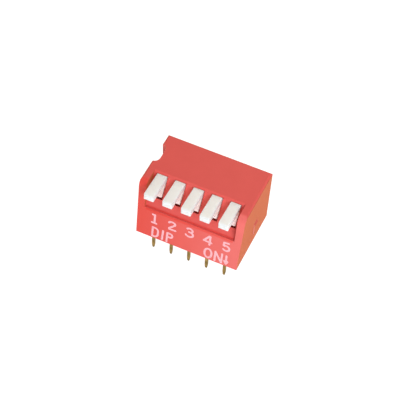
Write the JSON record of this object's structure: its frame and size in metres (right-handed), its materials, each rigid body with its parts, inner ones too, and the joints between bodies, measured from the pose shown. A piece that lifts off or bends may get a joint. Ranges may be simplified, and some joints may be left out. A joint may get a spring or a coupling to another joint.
{
  "type": "dip switch",
  "caption": "Piano-style dip switch: side levers in a recessed housing over two rows of through-hole pins.",
  "frame": {"origin": "middle of the pin pattern on the seating plane, the flat underside that rests on the board", "axes": "+X along the pin rows from position 1 to position 5, -Y towards the lever side, +Z away from the board"},
  "size_m": [0.0146, 0.0106, 0.0126],
  "materials": {
    "red_pbt": "smooth moulded, slightly glossy",
    "base_pbt": "smooth moulded",
    "white_nylon": "smooth moulded",
    "contact_gold": "gold plated spring strip",
    "terminal_gold": "gold plated terminal strip"
  },
  "bodies": {
    "switch_body": {"housing": "red_pbt", "base": "base_pbt", "terminal_front_1": "terminal_gold", "terminal_front_2": "terminal_gold", "terminal_front_3": "terminal_gold", "terminal_front_4": "terminal_gold", "terminal_front_5": "terminal_gold", "terminal_back_1": "terminal_gold", "terminal_back_2": "terminal_gold", "terminal_back_3": "terminal_gold", "terminal_back_4": "terminal_gold", "terminal_back_5": "terminal_gold"},
    "lever_1_body": {"lever_1": "white_nylon", "contact_1": "contact_gold"},
    "lever_2_body": {"lever_2": "white_nylon", "contact_2": "contact_gold"},
    "lever_3_body": {"lever_3": "white_nylon", "contact_3": "contact_gold"},
    "lever_4_body": {"lever_4": "white_nylon", "contact_4": "contact_gold"},
    "lever_5_body": {"lever_5": "white_nylon", "contact_5": "contact_gold"}
  },
  "joints": [
    {"name": "lever_1_tilt", "type": "hinge", "parent": "switch_body", "child": "lever_1_body", "pos_m": [-0.00508, -0.00074, 0.0072], "axis": [1, 0, 0], "range_deg": [0, 7]},
    {"name": "lever_2_tilt", "type": "hinge", "parent": "switch_body", "child": "lever_2_body", "pos_m": [-0.00254, -0.00074, 0.0072], "axis": [1, 0, 0], "range_deg": [0, 7]},
    {"name": "lever_3_tilt", "type": "hinge", "parent": "switch_body", "child": "lever_3_body", "pos_m": [0, -0.00074, 0.0072], "axis": [1, 0, 0], "range_deg": [0, 7]},
    {"name": "lever_4_tilt", "type": "hinge", "parent": "switch_body", "child": "lever_4_body", "pos_m": [0.00254, -0.00074, 0.0072], "axis": [1, 0, 0], "range_deg": [0, 7]},
    {"name": "lever_5_tilt", "type": "hinge", "parent": "switch_body", "child": "lever_5_body", "pos_m": [0.00508, -0.00074, 0.0072], "axis": [1, 0, 0], "range_deg": [0, 7]}
  ]
}
